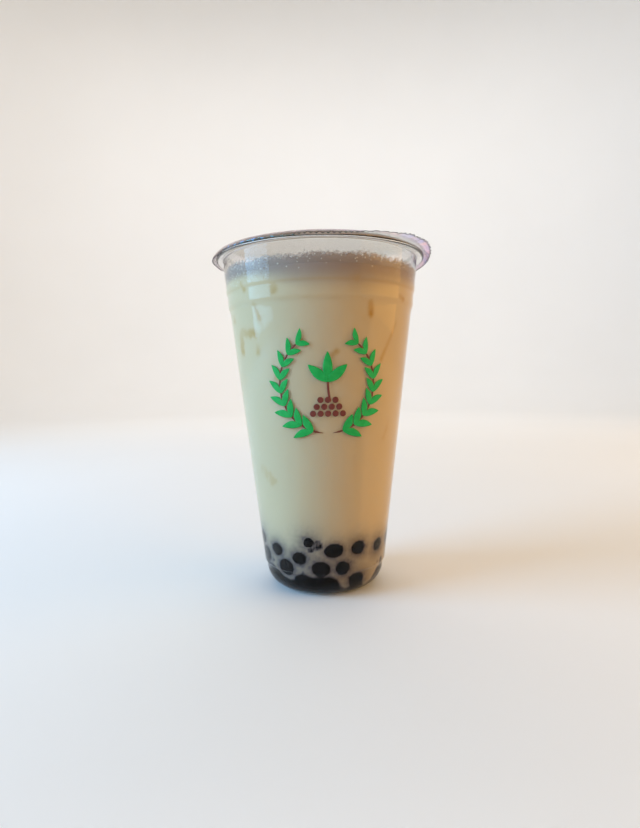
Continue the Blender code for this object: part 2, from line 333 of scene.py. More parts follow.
def add_range(nodes, links, source, low, high, to_low=0.0, to_high=1.0):
    """Carry a value from one range to another."""
    node = nodes.new("ShaderNodeMapRange")
    node.inputs["From Min"].default_value = low
    node.inputs["From Max"].default_value = high
    node.inputs["To Min"].default_value = to_low
    node.inputs["To Max"].default_value = to_high
    links.new(source, node.inputs["Value"])
    return node.outputs["Result"]


def add_bump(nodes, links, source, target, strength, distance):
    """Fine relief from a height value."""
    bump = nodes.new("ShaderNodeBump")
    bump.inputs["Strength"].default_value = strength
    bump.inputs["Distance"].default_value = distance
    links.new(source, bump.inputs["Height"])
    links.new(bump.outputs["Normal"], target.inputs["Normal"])


def add_attribute(nodes, name):
    """The value that a piece's corners carry under a name."""
    node = nodes.new("ShaderNodeAttribute")
    node.attribute_name = name
    return node.outputs["Fac"]


def add_mix(nodes, links, factor, first, second):
    """A colour mix; either side may be a colour or an output."""
    mix = nodes.new("ShaderNodeMix")
    mix.data_type = "RGBA"
    links.new(factor, mix.inputs["Factor"])
    sockets = [s for s in mix.inputs if s.type == "RGBA"]
    for socket, value in zip(sockets, (first, second)):
        if isinstance(value, bpy.types.NodeSocket):
            links.new(value, socket)
        else:
            socket.default_value = (*value, 1.0)
    return [s for s in mix.outputs if s.type == "RGBA"][0]


def lamp_clear(material, clear):
    """Let rays from lamps through a clear finish, so that they reach what is behind it."""
    nodes, links = material.node_tree.nodes, material.node_tree.links
    output = nodes["Material Output"]
    surface = output.inputs["Surface"].links[0].from_socket
    path = nodes.new("ShaderNodeLightPath")
    through = nodes.new("ShaderNodeBsdfTransparent")
    through.inputs["Color"].default_value = (*clear, 1.0)
    mix = nodes.new("ShaderNodeMixShader")
    links.new(path.outputs["Is Shadow Ray"], mix.inputs["Fac"])
    links.new(surface, mix.inputs[1])
    links.new(through.outputs["BSDF"], mix.inputs[2])
    links.new(mix.outputs["Shader"], output.inputs["Surface"])


def clear_plastic(colour):
    """Moulded clear plastic: faint flow lines down the wall and a slightly uneven gloss."""
    material, nodes, links, principled = shader(
        "moulded_clear_plastic", colour, 0.04, IOR=1.49, Transmission_Weight=1.0,
        Specular_Tint=(0.24, 0.24, 0.24, 1.0),
    )
    flow = add_noise(nodes, links, 90.0, 2.0, (1.0, 1.0, 0.06))
    gloss = add_range(nodes, links, flow, 0.3, 0.7, 0.015, 0.07)
    links.new(gloss, principled.inputs["Roughness"])
    add_bump(nodes, links, flow, principled, 0.1, 0.0005)
    lamp_clear(material, (0.93, 0.94, 0.94))
    return material


def clear_film(colour, edge):
    """Thin clear film with fine wrinkles, a painted lilac and rose sheen where it curls over, and a
    painted dark reflection along its cut edge."""
    material, nodes, links, principled = shader(
        "clear_sealing_film", colour, 0.05, IOR=1.5, Transmission_Weight=1.0,
        Thin_Film_Thickness=420.0, Thin_Film_IOR=1.33,
    )
    wrinkle = add_noise(nodes, links, 70.0, 4.0)
    add_bump(nodes, links, wrinkle, principled, 0.12, 0.0006)
    bands = add_noise(nodes, links, 160.0, 1.0)
    share = add_range(nodes, links, bands, 0.32, 0.68)
    sheen = add_mix(nodes, links, share, (0.52, 0.50, 0.86), (0.90, 0.60, 0.66))
    # Painted sheen: the curl attribute sets how much lilac and rose reflection is painted in.
    tinted = add_mix(nodes, links, add_attribute(nodes, "curl"), colour, sheen)
    # Painted dark reflection along the film's cut edge.
    edge_shaded = add_mix(nodes, links, add_attribute(nodes, "cut"), tinted, edge)
    links.new(edge_shaded, principled.inputs["Base Color"])
    lamp_clear(material, (0.94, 0.94, 0.94))
    return material


def milk_tea_finish(colour, dusk, dark, ice, thin):
    """Creamy tea, thinner near its top with painted shade carried lower across the front, dusky and
    then dark where pearls press near the wall and where the heap's painted shadow and the heel's
    painted shade lie, and amber where ice does and along painted shade lines at the wall's steps."""
    material, nodes, links, principled = shader("milk_tea_liquid", colour, 0.5, Specular_IOR_Level=0.03)
    swirl = add_noise(nodes, links, 26.0, 3.0, (1.0, 1.0, 0.5))
    share = add_range(nodes, links, swirl, 0.35, 0.65)
    paler = tuple(min(1.0, c * f) for c, f in zip(colour, (1.03, 1.04, 1.07)))
    creamy = add_mix(nodes, links, share, colour, paler)
    thinned = add_mix(nodes, links, add_attribute(nodes, "thin"), creamy, thin)
    # The ice attribute also carries the painted shade lines at the wall's steps.
    with_ice = add_mix(nodes, links, add_attribute(nodes, "ice"), thinned, ice)
    near_pearl = add_attribute(nodes, "pearl")
    dusky = add_range(nodes, links, near_pearl, 0.0, 0.6)
    shaded = add_mix(nodes, links, dusky, with_ice, dusk)
    deep = add_range(nodes, links, near_pearl, 0.6, 0.95)
    links.new(add_mix(nodes, links, deep, shaded, dark), principled.inputs["Base Color"])
    return material


def tapioca_finish(colour):
    """Smooth, dark, faintly brown tapioca with a wet gloss."""
    material, nodes, links, principled = shader("black_tapioca", colour, 0.3, Specular_IOR_Level=0.04)
    blotch = add_noise(nodes, links, 300.0, 2.0)
    share = add_range(nodes, links, blotch, 0.45, 0.75)
    browner = tuple(c * 2.2 + 0.003 for c in colour)
    links.new(add_mix(nodes, links, share, colour, browner), principled.inputs["Base Color"])
    add_bump(nodes, links, blotch, principled, 0.1, 0.0002)
    return material


def ice_finish():
    """Wet ice that has taken on the drink's colour."""
    material, nodes, links, principled = shader(
        "sunken_ice", (0.82, 0.74, 0.55), 0.1, IOR=1.31, Transmission_Weight=0.6
    )
    cloud = add_noise(nodes, links, 120.0, 3.0)
    add_bump(nodes, links, cloud, principled, 0.1, 0.0005)
    return material


def froth_finish(colour):
    """Pale milk froth."""
    material, nodes, links, principled = shader("milk_froth", colour, 0.3)
    speck = add_noise(nodes, links, 900.0, 2.0)
    share = add_range(nodes, links, speck, 0.4, 0.6)
    darker = tuple(c * 0.85 for c in colour)
    links.new(add_mix(nodes, links, share, darker, colour), principled.inputs["Base Color"])
    return material


def residue_finish(colour):
    """A thin milky smear, denser low down and breaking up at its top."""
    material, nodes, links, principled = shader("milk_residue", colour, 0.4)
    output = nodes["Material Output"]
    patch = add_noise(nodes, links, 760.0, 5.0, (1.0, 1.0, 1.2))
    total = nodes.new("ShaderNodeMath")
    total.operation = "MULTIPLY_ADD"
    total.inputs[1].default_value = 0.7
    links.new(patch, total.inputs[0])
    links.new(add_attribute(nodes, "fade"), total.inputs[2])
    cover = add_range(nodes, links, total.outputs["Value"], 0.52, 0.9, 0.0, 0.86)
    through = nodes.new("ShaderNodeBsdfTransparent")
    mix = nodes.new("ShaderNodeMixShader")
    links.new(cover, mix.inputs["Fac"])
    links.new(through.outputs["BSDF"], mix.inputs[1])
    links.new(principled.outputs["BSDF"], mix.inputs[2])
    links.new(mix.outputs["Shader"], output.inputs["Surface"])
    return material


def ink_finish(name, colour):
    """Printed ink, slightly uneven in density."""
    material, nodes, links, principled = shader(name, colour, 0.45, Specular_IOR_Level=0.2)
    press = add_noise(nodes, links, 500.0, 2.0)
    share = add_range(nodes, links, press, 0.35, 0.65)
    thinner = tuple(min(1.0, c * 1.12 + 0.01) for c in colour)
    links.new(add_mix(nodes, links, share, colour, thinner), principled.inputs["Base Color"])
    return material


# Shapes

def pearl_places():
    """Centres and radii of every pearl, the back ones by rule. A ball of radius R that is pressed
    flat over a width w has its centre sqrt(R² - (w / 2)²) inside the wall."""
    draw = random.Random(SEED)
    against = [row[:4] for row in FRONT_PEARLS]
    for height, first, last, count in BACK_LAYERS:
        for i in range(count):
            azimuth = first + (last - first) * i / (count - 1) + draw.uniform(-4.0, 4.0)
            size = PEARL_SIZE + draw.uniform(-0.5, 0.5)
            against.append((azimuth, height + draw.uniform(-1.2, 1.2), size, draw.uniform(6.4, 8.0)))
    azimuth, height, size, patch = np.array(against, float).T
    radius = size / 2.0
    reach = np.sqrt(radius ** 2 - (patch / 2.0) ** 2)
    centre = np.maximum(height, PEARL_LINE + 0.85 * radius)
    return placed(np.radians(azimuth), wall_radius(height, PEARL_LINE) - reach, centre), radius


def pearl_flatness(count):
    """Height of each ball as a share of its width: as listed in front, a seeded draw behind."""
    listed = [row[4] for row in FRONT_PEARLS]
    drawn = np.random.default_rng(SEED + 2).uniform(0.84, 0.96, count - len(listed))
    return np.append(listed, drawn)


def pearl_points(places, radius, rows=22, columns=34):
    """Lumpy balls: centre + R(1 + 0.075·broad waves + 0.06·fine waves)·direction, squashed in
    height, and drawn in to the wall where they pass it."""
    count = len(places)
    way = ball_ways(rows, columns).reshape(1, -1, 3)
    draw = np.random.default_rng(SEED + 1)
    sides = draw.uniform(0.98, 1.04, (2, count))
    squash = np.column_stack([sides[0], sides[1], pearl_flatness(count)])
    shift = np.arange(count)[:, None, None] * 3.1
    lump = 1.0 + 0.075 * waves(way + shift, 5, 2.2, 3) + 0.06 * waves(way + shift, 6, 0.95, 2)
    points = places[:, None] + way * squash[:, None] * (radius[:, None] * lump)[..., None]
    points = drawn_in(points, PEARL_LIMIT)
    points[..., 2] = np.maximum(points[..., 2], PEARL_LINE)
    return points.reshape(count, rows, columns, 3)


def ice_boxes():
    """Each cube from its edge near the wall: centre, three directions as columns, half sizes and
    half the edge's length. The edge runs along its two ends; the cube's body lies inwards of it."""
    a0, z0, a1, z1, size, depth, _ = np.array(ICE_EDGES, float).T
    first = placed(np.radians(a0), wall_radius(z0, INNER_FACE) - depth, z0)
    second = placed(np.radians(a1), wall_radius(z1, INNER_FACE) - depth, z1)
    middle = (first + second) / 2.0
    along = second - first
    length = np.linalg.norm(along, axis=1)
    along /= length[:, None]
    outward = middle * (1.0, 1.0, 0.0)
    outward /= np.linalg.norm(outward, axis=1, keepdims=True)
    outward -= along * (outward * along).sum(axis=1, keepdims=True)
    outward /= np.linalg.norm(outward, axis=1, keepdims=True)
    across = np.cross(along, outward)
    tilt = np.radians(np.random.default_rng(SEED + 4).uniform(36.0, 54.0, len(size)))[:, None]
    second_way = -outward * np.cos(tilt) + across * np.sin(tilt)
    third_way = -outward * np.sin(tilt) - across * np.cos(tilt)
    half = np.column_stack([np.maximum(length, 0.75 * size) / 2.0, size / 2.0, size / 2.0])
    centre = middle + second_way * half[:, 1:2] + third_way * half[:, 2:3]
    return centre, np.stack([along, second_way, third_way], axis=-1), half, length / 2.0


def ice_points(rows=14, columns=28):
    """Rounded cubes as superellipsoids: signed powers 0.3 of the sphere's sines and cosines."""
    centre, ways, half, _ = ice_boxes()
    polar = np.linspace(-np.pi / 2.0, np.pi / 2.0, rows)[:, None]
    turn = np.linspace(0.0, 2.0 * np.pi, columns, endpoint=False)[None, :]

    def power(value):
        return np.sign(value) * np.abs(value) ** 0.3

    across = power(np.cos(polar))
    unit = np.stack(np.broadcast_arrays(
        across * power(np.cos(turn)), across * power(np.sin(turn)), power(np.sin(polar))
    ), -1)
    local = unit.reshape(1, -1, 3) * half[:, None] * 0.96
    points = drawn_in(centre[:, None] + np.einsum("pij,pnj->pni", ways, local), ICE_LIMIT)
    points[..., 2] = np.minimum(points[..., 2], ICE_TOP)
    return points.reshape(len(centre), rows, columns, 3)


def foot_shade(points):
    """The black band of pearls crowded in the heel, with the heel's painted shade over them: as black
    as listed up to a height that depends on the azimuth, made uneven by waves and eased as
    1 / (1 + exp(height / 0.35 mm))."""
    azimuth = np.degrees(np.arctan2(points[:, 0], -points[:, 1]))
    listed, band, black = np.array(CROWDED_FOOT_AND_SHADE, float).T
    level = np.interp(azimuth, listed, band) + 0.8 * waves(points, 17, 7.0)
    return np.interp(azimuth, listed, black) / (1.0 + np.exp((points[:, 2] - level) / 0.35))


def milk_over_pearls(points, places, radius):
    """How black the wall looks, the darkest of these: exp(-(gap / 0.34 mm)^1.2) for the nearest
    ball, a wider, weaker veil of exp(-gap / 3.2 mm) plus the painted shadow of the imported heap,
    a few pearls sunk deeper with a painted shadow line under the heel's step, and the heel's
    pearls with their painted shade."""
    gap = np.full(len(points), 99.0)
    for centre, size, flat in zip(places, radius, pearl_flatness(len(radius))):
        gap = np.minimum(gap, np.linalg.norm((points - centre) / (1.0, 1.0, flat), axis=1) - size)
    ragged = 0.45 * waves(points, 21, 3.4) + 0.35 * waves(points, 22, 1.5, 2)
    gap = np.maximum(gap + 0.25 + ragged, 0.0)
    # Painted shadow of the packed heap, up to a little above its side.
    heap = 1.0 / (1.0 + np.exp((points[:, 2] - CORE_SIDE - 3.0 - 1.4 * waves(points, 7, 14.0)) / 1.8))
    veil = (0.5 + 0.2 * waves(points, 9, 3.0)) * np.exp(-gap / 3.2)
    cover = np.maximum(np.exp(-(gap / 0.34) ** 1.2), veil + 0.18 * heap)
    for azimuth, height, size, depth in SUNK_PEARLS_AND_SHADOW:
        middle = placed(math.radians(azimuth), wall_radius(height, INNER_FACE), height)
        away = np.linalg.norm(points - middle, axis=1) / size
        speckle = 0.88 + 0.6 * waves(points, 13, 2.0, 3)
        edge = np.minimum((away - 1.0) / 0.16, 60.0)
        cover = np.maximum(cover, math.exp(-depth) * speckle / (1.0 + np.exp(edge)))
    return np.clip(np.maximum(cover, foot_shade(points)), 0.0, 1.0)


def milk_over_ice(points):
    """How amber the wall looks near ice: the gap to the segment along each cube's edge, thinned
    to exp(-(gap / 0.8 mm)^1.5) past its listed width, which waves make uneven."""
    centre, ways, half, reach = ice_boxes()
    corner = centre - ways[..., 1] * half[:, 1:2] - ways[..., 2] * half[:, 2:3]
    total = np.zeros(len(points))
    uneven = 1.0 + 1.1 * waves(points, 41, 6.5, 3)
    for start, way, extent, (*_, depth, width) in zip(corner, ways[..., 0], reach, ICE_EDGES):
        offset = points - start
        along = np.clip(offset @ way, -extent, extent)
        gap = np.linalg.norm(offset - along[:, None] * way, axis=1)
        taper = 0.75 + 0.25 * along / max(extent, 0.1)
        soft = np.maximum(gap - width * uneven, 0.0) / 0.8
        mark = np.exp(-soft ** 1.5) * math.exp(-depth) * taper
        total = np.maximum(total, mark)
    return np.clip(total, 0.0, 1.0)


def thin_and_shade_share(points):
    """How thin the milk is, with painted shade where it starts lower across the front: 0 below a
    height that depends on the azimuth, eased by 3t² - 2t³ up to 1 at the surface."""
    azimuth = np.degrees(np.arctan2(points[:, 0], -points[:, 1]))
    low = np.interp(azimuth, *np.array(THIN_AND_SHADE_FROM, float).T) + 0.5 * waves(points, 31, 18.0)
    t = np.clip((points[:, 2] - low) / (THIN_TO - low), 0.0, 1.0)
    return t * t * (3.0 - 2.0 * t)


def step_shade_lines(points):
    """Painted shade: faint amber lines where the wall steps, a bell exp(-(height / 0.55 mm)²) about each.
    """
    return sum(share * np.exp(-((points[:, 2] - height) / 0.55) ** 2) for height, share in STEP_SHADE_LINES)


def overhang(turn):
    """Length and end angle of the film's overhang at azimuths in radians, eased between the
    listed ones by half cosines, with a slight wobble of the angle."""
    azimuth = np.degrees(turn)
    table = np.array(OVERHANG, float)
    index = np.clip(np.searchsorted(table[:, 0], azimuth, side="right") - 1, 0, len(table) - 2)
    low, high = table[index], table[index + 1]
    share = (azimuth - low[:, 0]) / (high[:, 0] - low[:, 0])
    share = (0.5 - 0.5 * np.cos(np.pi * share))[:, None]
    length, end = (low[:, 1:] + (high[:, 1:] - low[:, 1:]) * share).T
    end = end + 5.0 * np.sin(15.0 * turn) + 4.0 * np.sin(22.0 * turn + 1.0)
    return length, np.radians(np.where(np.abs(end) < 1.0, 1.0, end))


def film_points(teeth, tooth_depth):
    """The sheet as (ring, azimuth): flat with slight sag and a pressed seal ring, then an arc of
    even bend past the fold, whose cut edge is a triangle wave of so many teeth."""
    columns = teeth * 6
    turn = np.linspace(-np.pi, np.pi, columns, endpoint=False)
    length, end = overhang(turn)
    bend = length / end
    flat = np.concatenate([np.linspace(0.0, FILM_FLAT, 14), np.linspace(FILM_FLAT + 0.6, FOLD_RADIUS, 8)])
    flat = flat[:, None]
    sag = -0.22 * np.clip(1.0 - (flat / FILM_FLAT) ** 2, 0.0, 1.0)
    seal = 0.05 * np.cos((flat - SEAL_RING) * 6.0) * np.exp(-(flat - SEAL_RING) ** 2)
    ripple = 0.06 * np.sin(9.0 * turn + 0.08 * flat) * (flat / 47.0) ** 3
    level = FILM_LEVEL + sag + seal + ripple * np.clip((FOLD_RADIUS - flat) / 3.0, 0.0, 1.0)
    inner = placed(turn, flat, level)
    step = np.linspace(0.0, 1.0, 11)[1:, None]
    tooth = np.abs(((np.arange(columns) / 6.0) % 1.0) * 2.0 - 1.0)
    share = step * (1.0 - tooth_depth / length * tooth * step ** 4)
    angle = end * share
    crimp = 0.16 * np.cos(2.0 * np.pi * np.arange(columns) / 12.0) * step ** 2
    radius = FOLD_RADIUS + bend * np.sin(angle) + crimp * np.sin(angle)
    height = FILM_LEVEL - bend * (1.0 - np.cos(angle)) + crimp * np.cos(angle)
    outer = placed(turn, radius, height)
    along = np.concatenate([np.zeros(len(flat)), step[:, 0]])[:, None]
    # Painted sheen: curl is how much lilac and rose sheen is painted, most where the film curls over at the
    # right.
    curl = np.clip(along * 2.0, 0.0, 1.0) * (0.25 + 0.75 * np.exp(-((turn - 1.35) / 0.5) ** 2))
    # Painted dark reflection: cut rises over the last fifth of the overhang.
    values = {"cut": np.clip((along - 0.78) / 0.2, 0.0, 1.0) + 0.0 * turn, "curl": curl}
    return np.concatenate([inner, outer]), values


def on_wall(across, up, azimuth, height, lift):
    """Wrap a flat drawing in millimetres round the cup: the azimuth turns by across / radius."""
    level = height + up
    turn = azimuth + across / wall_radius(level, 0.0)
    return placed(turn, wall_radius(level, -lift), level)


def leaf(start, heading, length, width, curl):
    """A leaf as a grid: the middle line bends by curl, the half width is
    width·sin(πs)^0.8·(1 - s/4)."""
    s = np.linspace(0.0, 1.0, 15)[:, None]
    t = np.linspace(-1.0, 1.0, 7)[None, :]
    half = width * np.clip(np.sin(np.pi * s), 0.0, 1.0) ** 0.8 * (1.0 - 0.25 * s)
    along = length * s + 0.0 * t
    across = half * t + curl * length * np.sin(np.pi * s)
    c, d = math.cos(heading), math.sin(heading)
    return np.stack([start[0] + along * c - across * d, start[1] + along * d + across * c], -1)


def ribbon(centre, radius, first, last, width):
    """A curved band between two angles, pinched at both ends."""
    s = np.linspace(0.0, 1.0, 60)[:, None]
    t = np.linspace(-1.0, 1.0, 3)[None, :]
    angle = first + (last - first) * s
    reach = radius + 0.5 * width * t * np.clip(np.sin(np.pi * s) * 6.0, 0.15, 1.0)
    return np.stack([centre[0] + reach * np.sin(angle), centre[1] - reach * np.cos(angle)], -1)


def dot(centre, radius):
    """A round dot as rings about its middle."""
    ring = np.linspace(0.0, 1.0, 4)[:, None] * radius
    turn = np.linspace(0.0, 2.0 * np.pi, 25)[None, :]
    return np.stack([centre[0] + ring * np.cos(turn), centre[1] + ring * np.sin(turn)], -1)


def emblem_drawing(size):
    """A generic sprig wreath: two leafy branches open at the top, and a small sprig over a heap
    of dots inside. Returns the green and the brown shapes as flat grids."""
    green, brown = [], []
    ring = size * 0.76
    for side in (-1.0, 1.0):
        brown.append(ribbon((0.0, 0.0), ring, side * 0.10, side * 2.55, size * 0.028))
        for i in range(9):
            angle = side * (0.30 + 0.27 * i)
            start = (ring * math.sin(angle), -ring * math.cos(angle))
            ahead = angle if side > 0 else angle + math.pi
            grow = 1.0 - 0.035 * i
            for outer in (1.0, -1.0):
                swing = (0.62 if outer > 0 else 0.70) * -side * outer
                reach = size * (0.34 if outer > 0 else 0.30) * grow
                green.append(leaf(start, ahead + swing, reach, size * 0.068 * grow, 0.07 * side * outer))
    upright = math.pi / 2.0
    for swing, reach in ((0.0, 0.46), (0.85, 0.40), (-0.85, 0.40)):
        green.append(leaf((0.0, size * 0.02), upright + swing, size * reach, size * 0.085, 0.0))
    stem = (size * 1.5, size * 0.04)
    brown.append(ribbon(stem, size * 1.5, -upright, -upright + 0.2, size * 0.035))
    for row, dots in enumerate((5, 4, 3)):
        for i in range(dots):
            x = i * 0.115 - 0.0575 * (dots - 1)
            brown.append(dot((size * x, size * (-0.46 + 0.105 * row)), size * 0.048))
    return green, brown


def printed(name, shapes, settings, material, lift):
    """Flat shapes wrapped round the wall and thickened into closed prints."""
    azimuth, height = settings.emblem_azimuth, settings.emblem_height / MM
    places, faces, count = [], [], 0
    for shape in shapes:
        rows, columns = shape.shape[:2]
        wrapped = on_wall(shape[..., 0], shape[..., 1], azimuth, height, lift)
        places.append(wrapped.reshape(-1, 3))
        faces.append(grid_faces(rows, columns, False) + count)
        count += rows * columns
    piece = make_piece(name, np.concatenate(places), np.concatenate(faces), material)
    sheet = piece.modifiers.new("Ink", "SOLIDIFY")
    sheet.thickness = INK * MM
    sheet.offset = 0.0
    return piece


# Settings

def amount(name, description, default, unit="LENGTH"):
    """A setting for a number with a unit."""
    return bpy.props.FloatProperty(name=name, description=description, default=default, unit=unit)


def tint(name, description, default):
    """A setting for a colour."""
    return bpy.props.FloatVectorProperty(
        name=name, description=description, subtype="COLOR", default=default
    )


class BubbleTeaCup(bpy.types.PropertyGroup):
    """Sizes and colours of the cup and the film."""
    wall: amount("Wall", "Thickness of the cup's wall", 0.0007)
    plastic: tint("Plastic", "Tint of the clear plastic", (0.95, 0.95, 0.945))
    film: tint("Film", "Tint of the sealing film", (0.80, 0.785, 0.77))
    # Painted dark reflection along the film's cut edge.
    film_edge_shade: tint("Film edge", "Tint of the film's cut edge", (0.26, 0.23, 0.22))
    film_thickness: amount("Film thickness", "Thickness of the sealing film", 0.00014)
    teeth: bpy.props.IntProperty(
        name="Teeth", description="Teeth round the film's cut edge", default=140, min=12
    )
    tooth_depth: amount("Tooth depth", "Depth of the film's teeth", 0.0009)


class BubbleTeaDrink(bpy.types.PropertyGroup):
    """Level and colours of the drink, the pearls and the ice."""
    level: amount("Level", "Height of the drink's surface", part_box("milk_tea")[1][2])
    tea: tint("Milk tea", "Colour of the drink", (0.68, 0.54, 0.34))
    # Dusk and the pearl shade also paint the packed heap's shadow and the shade in the heel.
    dusk: tint("Dusk", "Colour of the milk between the pearls", (0.17, 0.135, 0.125))
    veil: tint("Pearl shade", "Colour of pearls seen through a little milk", (0.003, 0.0025, 0.003))
    # The ice shade colour also paints the shade lines at the wall's steps.
    amber: tint("Ice shade", "Colour of ice seen through a little milk", (0.54, 0.31, 0.085))
    # The thin milk colour also paints the shade across the front near the top.
    thin: tint("Thin milk", "Colour of the milky film near the top", (0.40, 0.30, 0.24))
    pearl: tint("Tapioca", "Colour of the pearls", (0.004, 0.003, 0.0035))
    froth: tint("Froth", "Colour of froth and bubbles", (0.80, 0.74, 0.62))


class BubbleTeaPrint(bpy.types.PropertyGroup):
    """Place, size and colours of the printed sprig."""
    emblem_size: amount("Radius", "Outer radius of the print", 0.0265)
    emblem_azimuth: amount("Azimuth", "Turn of the print from the front", math.radians(3.5), "ROTATION")
    emblem_height: amount("Height", "Height of the print's middle", 0.093)
    green: tint("Leaves", "Colour of the leaves", (0.006, 0.34, 0.065))
    brown: tint("Stems", "Colour of the stems and dots", (0.15, 0.03, 0.02))


class BubbleTeaStage(bpy.types.PropertyGroup):
    """Lamps and floor."""
    left: amount("Left lamp", "Power of the cool lamp", 11.8, "POWER")
    right: amount("Right lamp", "Power of the warm lamp", 6.4, "POWER")
    front: amount("Front lamp", "Power of the front lamp", 0.3, "POWER")
    back: amount("Back lamp", "Power of the backdrop's lamp", 14.0, "POWER")
    floor: tint("Floor", "Colour of the floor", (0.87, 0.865, 0.865))


# Operators

class BUBBLETEA_OT_cup(bpy.types.Operator):
    """Make the clear cup"""
    bl_idname = "bubbletea.cup"
    bl_label = "Clear Cup"

    def execute(self, context):
        settings = context.scene.bubble_tea_cup
        wall = settings.wall / MM
        bead = (RIM_TOP - RIM_UNDER) / 2.0
        angle = np.radians(np.arange(90.0, -91.0, -22.5))
        middle = (RIM_RADIUS - bead, RIM_UNDER + bead)
        rim = np.column_stack([middle[0] + bead * np.cos(angle), middle[1] + bead * np.sin(angle)])
        inner = NECK_RADIUS - wall
        lip = np.vstack([[(inner, RIM_TOP - 0.5), (inner + 0.5, RIM_TOP)], rim])
        line = np.vstack([wall_line(wall)[:-1], lip, wall_line(0.0)[::-1]])
        points = turned(softened(line, 0.45), 192)
        piece = make_piece(
            "clear_cup", points.reshape(-1, 3), grid_faces(*points.shape[:2]),
            clear_plastic(settings.plastic),
        )
        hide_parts("cup")
        return {"FINISHED"}


class BUBBLETEA_OT_film(bpy.types.Operator):
    """Make the heat-sealed film with its cut edge"""
    bl_idname = "bubbletea.film"
    bl_label = "Sealing Film"

    def execute(self, context):
        settings = context.scene.bubble_tea_cup
        points, values = film_points(settings.teeth, settings.tooth_depth / MM)
        piece = make_piece(
            "sealing_film", points.reshape(-1, 3), grid_faces(*points.shape[:2]),
            clear_film(tuple(settings.film), tuple(settings.film_edge_shade)), values,
        )
        sheet = piece.modifiers.new("Thickness", "SOLIDIFY")
        sheet.thickness = settings.film_thickness
        sheet.offset = 0.0
        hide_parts("seal_film")
        return {"FINISHED"}


class BUBBLETEA_OT_drink(bpy.types.Operator):
    """Make the milk tea, just reaching into the wall, with the tint of what lies behind it and painted
    shade
    """
    bl_idname = "bubbletea.drink"
    bl_label = "Milk Tea"

    def execute(self, context):
        settings = context.scene.bubble_tea_drink
        level = settings.level / MM
        inset = context.scene.bubble_tea_cup.wall / MM - DRINK_REACH
        line = softened(wall_line(inset), 0.4)
        line = line[line[:, 1] < level - 0.4]
        split = int(np.argmax(line[:, 0] > HEEL_CENTRE + 0.5))
        low = int(np.argmax(line[:, 1] > PEARLS_END))
        brim = wall_radius(level, inset)
        edge = np.array([
            (brim, level + 0.9), (brim - 0.5, level + 0.25), (brim - 1.6, level), (0.0, level),
        ])
        # Coarse underneath, fine where pearls show, wider up to the brim, then its edge and top.
        parts = [
            respaced(line[:split], 1.6)[:-1], respaced(line[split - 1:low], 0.45)[:-1],
            respaced(np.vstack([line[low - 1:], edge[:1]]), 0.9)[:-1],
            edge[:3], respaced(edge[2:], 2.5)[1:],
        ]
        points = turned(np.vstack(parts), 360)
        flat = points.reshape(-1, 3)
        places, radius = pearl_places()
        # The painted shade lines at the wall's steps join the ice's amber.
        amber = np.maximum(milk_over_ice(flat), step_shade_lines(flat))
        shade = {"pearl": milk_over_pearls(flat, places, radius), "ice": amber, "thin": thin_and_shade_share(flat)}
        colours = (settings.tea, settings.dusk, settings.veil, settings.amber, settings.thin)
        piece = make_piece(
            "milk_tea_body", flat, grid_faces(*points.shape[:2]),
            milk_tea_finish(*(tuple(colour) for colour in colours)), shade,
        )
        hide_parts("milk_tea")
        return {"FINISHED"}


class BUBBLETEA_OT_pearls(bpy.types.Operator):
    """Make the tapioca pearls that lie against the wall"""
    bl_idname = "bubbletea.pearls"
    bl_label = "Tapioca Pearls"

    def execute(self, context):
        settings = context.scene.bubble_tea_drink
        places, radius = pearl_places()
        points, faces = many_grids(pearl_points(places, radius))
        core_line = wall_line(PEARL_LINE + CORE_CLEARANCE)
        core_line = core_line[core_line[:, 1] < CORE_SIDE]
        edge = wall_radius(CORE_SIDE, PEARL_LINE + CORE_CLEARANCE)
        dome = [(edge - 1.2, CORE_SIDE + 1.5), (0.5 * edge, CORE_SIDE + 2.2), (0.0, CORE_SIDE + 2.5)]
        top = [(edge, CORE_SIDE)] + dome
        core = turned(softened(np.vstack([core_line, top]), 0.8), 64)
        core_faces = grid_faces(*core.shape[:2]) + len(points)
        points, faces = np.vstack([points, core.reshape(-1, 3)]), np.vstack([faces, core_faces])
        piece = make_piece("pearl_heap", points, faces, tapioca_finish(tuple(settings.pearl)))
        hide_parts("tapioca_pearls")
        return {"FINISHED"}


class BUBBLETEA_OT_ice(bpy.types.Operator):
    """Make the ice cubes sunk in the drink"""
    bl_idname = "bubbletea.ice"
    bl_label = "Ice Cubes"

    def execute(self, context):
        points, faces = many_grids(ice_points())
        make_piece("ice_cubes", points, faces, ice_finish())
        return {"FINISHED"}


